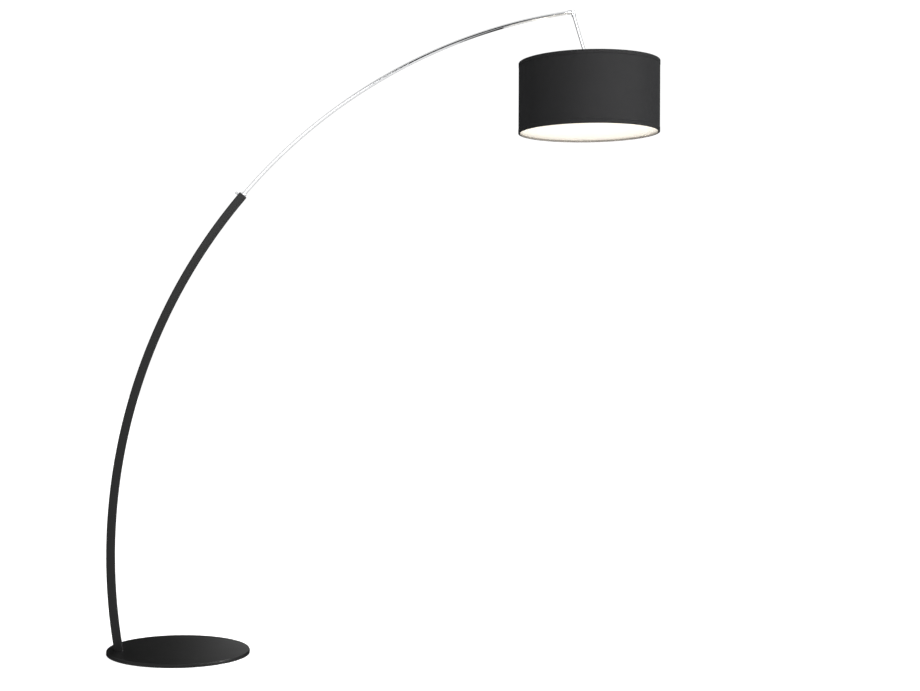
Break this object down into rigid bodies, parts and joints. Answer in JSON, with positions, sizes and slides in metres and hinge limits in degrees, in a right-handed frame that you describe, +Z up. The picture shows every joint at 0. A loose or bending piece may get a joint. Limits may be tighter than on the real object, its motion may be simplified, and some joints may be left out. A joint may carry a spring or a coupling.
{
  "type": "arc floor lamp",
  "caption": "Arc floor lamp: heavy round base, curved square lower arm, sliding round chrome upper arm, drop rod and a level black drum shade lined in white.",
  "frame": {"origin": "centre of the base's underside, on the floor", "axes": "+Z up; the arms curve in the XZ plane and the shade hangs towards +X; the cord outlet faces +Y, at the back"},
  "size_m": [1.7565, 0.4512, 2.047],
  "materials": {
    "black_steel": "satin powder coat",
    "felt": "pressed felt",
    "zinc_steel": "bright zinc",
    "chrome": "polished chrome plate",
    "black_plastic": "fine texture",
    "black_rubber": "matte",
    "lead_sheath": "soft sheath",
    "guide_nylon": "natural nylon",
    "brass": "bright",
    "holder_plastic": "moulded",
    "ceramic": "unglazed",
    "white_wire": "white powder coat",
    "shade_liner": "white laminate, lit from inside",
    "shade_fabric": "fine plain weave",
    "bulb_metal": "rolled thread",
    "bulb_insulator": "black glass insulator",
    "opal_glass": "opal, lit"
  },
  "bodies": {
    "lower_arm": {"base_plate": "black_steel", "base_felt": "felt", "foot_plug": "zinc_steel", "foot_bolt": "zinc_steel", "foot_pin": "zinc_steel", "lower_arm": "black_steel", "cord_grommet": "black_rubber", "lower_lead": "lead_sheath", "mouth_bush": "black_plastic", "guide_collar": "chrome"},
    "clamp_pad": {"clamp_pad": "brass"},
    "thumbscrew": {"thumbscrew": "chrome"},
    "upper_arm": {"upper_arm": "chrome", "tail_guide": "guide_nylon", "upper_lead": "lead_sheath", "tip_fork": "chrome", "tip_washers": "black_plastic", "tip_screw": "chrome", "tip_nut": "chrome"},
    "drop_rod": {"drop_eye": "chrome", "drop_rod": "chrome", "drop_lead": "lead_sheath", "drop_fork": "chrome", "shade_washers": "black_plastic", "shade_screw": "chrome", "shade_nut": "chrome"},
    "shade": {"shade_eye": "chrome", "nipple_nut": "zinc_steel", "holder_cap": "holder_plastic", "holder_body": "holder_plastic", "holder_core": "ceramic", "screw_shell": "brass", "centre_contact": "brass", "ring_nuts": "holder_plastic", "top_frame": "white_wire", "bottom_ring": "white_wire", "shade_liner": "shade_liner", "shade_fabric": "shade_fabric", "top_hem": "shade_fabric", "bottom_hem": "shade_fabric", "bulb_cap": "bulb_metal", "bulb_tip": "bulb_insulator", "bulb_glass": "opal_glass"}
  },
  "joints": [
    {"name": "arm_slide", "type": "hinge", "parent": "lower_arm", "child": "upper_arm", "pos_m": [1.54091, 0, 0.31322], "axis": [0, 1, 0], "range_deg": [-13.08, 2.9]},
    {"name": "tip_hinge", "type": "hinge", "parent": "upper_arm", "child": "drop_rod", "pos_m": [1.25198, 0, 2.04123], "axis": [0, -1, 0], "range_deg": [-10, 45]},
    {"name": "shade_tilt", "type": "hinge", "parent": "drop_rod", "child": "shade", "pos_m": [1.3064, 0, 1.86651], "axis": [0, -1, 0], "range_deg": [-15, 25]},
    {"name": "pad_travel", "type": "slide", "parent": "lower_arm", "child": "clamp_pad", "axis": [-0.7707, 0, 0.6372], "range_m": [0, 0.0014]},
    {"name": "thumbscrew_turn", "type": "hinge", "parent": "clamp_pad", "child": "thumbscrew", "pos_m": [0.17863, 0, 1.43938], "axis": [-0.7707, 0, 0.6372], "range_deg": [0, 720]}
  ],
  "couplings": [
    {"joint": "thumbscrew_turn", "follows": "pad_travel", "rad_per_m": 8976}
  ]
}
